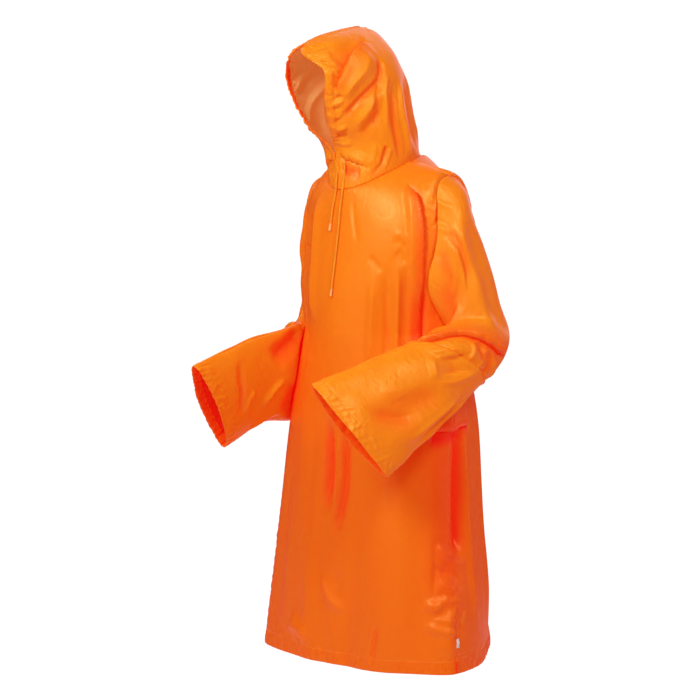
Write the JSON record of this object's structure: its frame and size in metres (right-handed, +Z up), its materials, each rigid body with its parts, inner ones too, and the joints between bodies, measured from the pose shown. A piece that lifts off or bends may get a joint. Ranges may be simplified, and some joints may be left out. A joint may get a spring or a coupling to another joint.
{
  "type": "rain poncho",
  "caption": "Hooded pullover rain poncho with wide sleeves and a drawstring hood, hollow as worn, in orange coated cloth.",
  "frame": {"origin": "middle of the neck base, between the shoulders that hold it up", "axes": "+Z up, the wearer faces -Y, the wearer's left is +X"},
  "size_m": [0.6362, 0.6784, 1.4515],
  "materials": {
    "front_body": "coated, satin",
    "back_body": "coated, satin",
    "left_sleeve": "coated, satin",
    "right_sleeve": "coated, satin",
    "hood_left": "coated, satin",
    "hood_right": "coated, satin",
    "drawstring": "braided, matte",
    "drawstring_tip": "heat-sealed, matte",
    "side_label": "woven, matte"
  },
  "bodies": {
    "root": {"front_body": "front_body", "back_body": "back_body", "left_sleeve": "left_sleeve", "right_sleeve": "right_sleeve", "hood_left": "hood_left", "hood_right": "hood_right", "drawstring_left": "drawstring", "drawstring_right": "drawstring", "drawstring_tip_left": "drawstring_tip", "drawstring_tip_right": "drawstring_tip", "side_label": "side_label"}
  },
  "joints": []
}
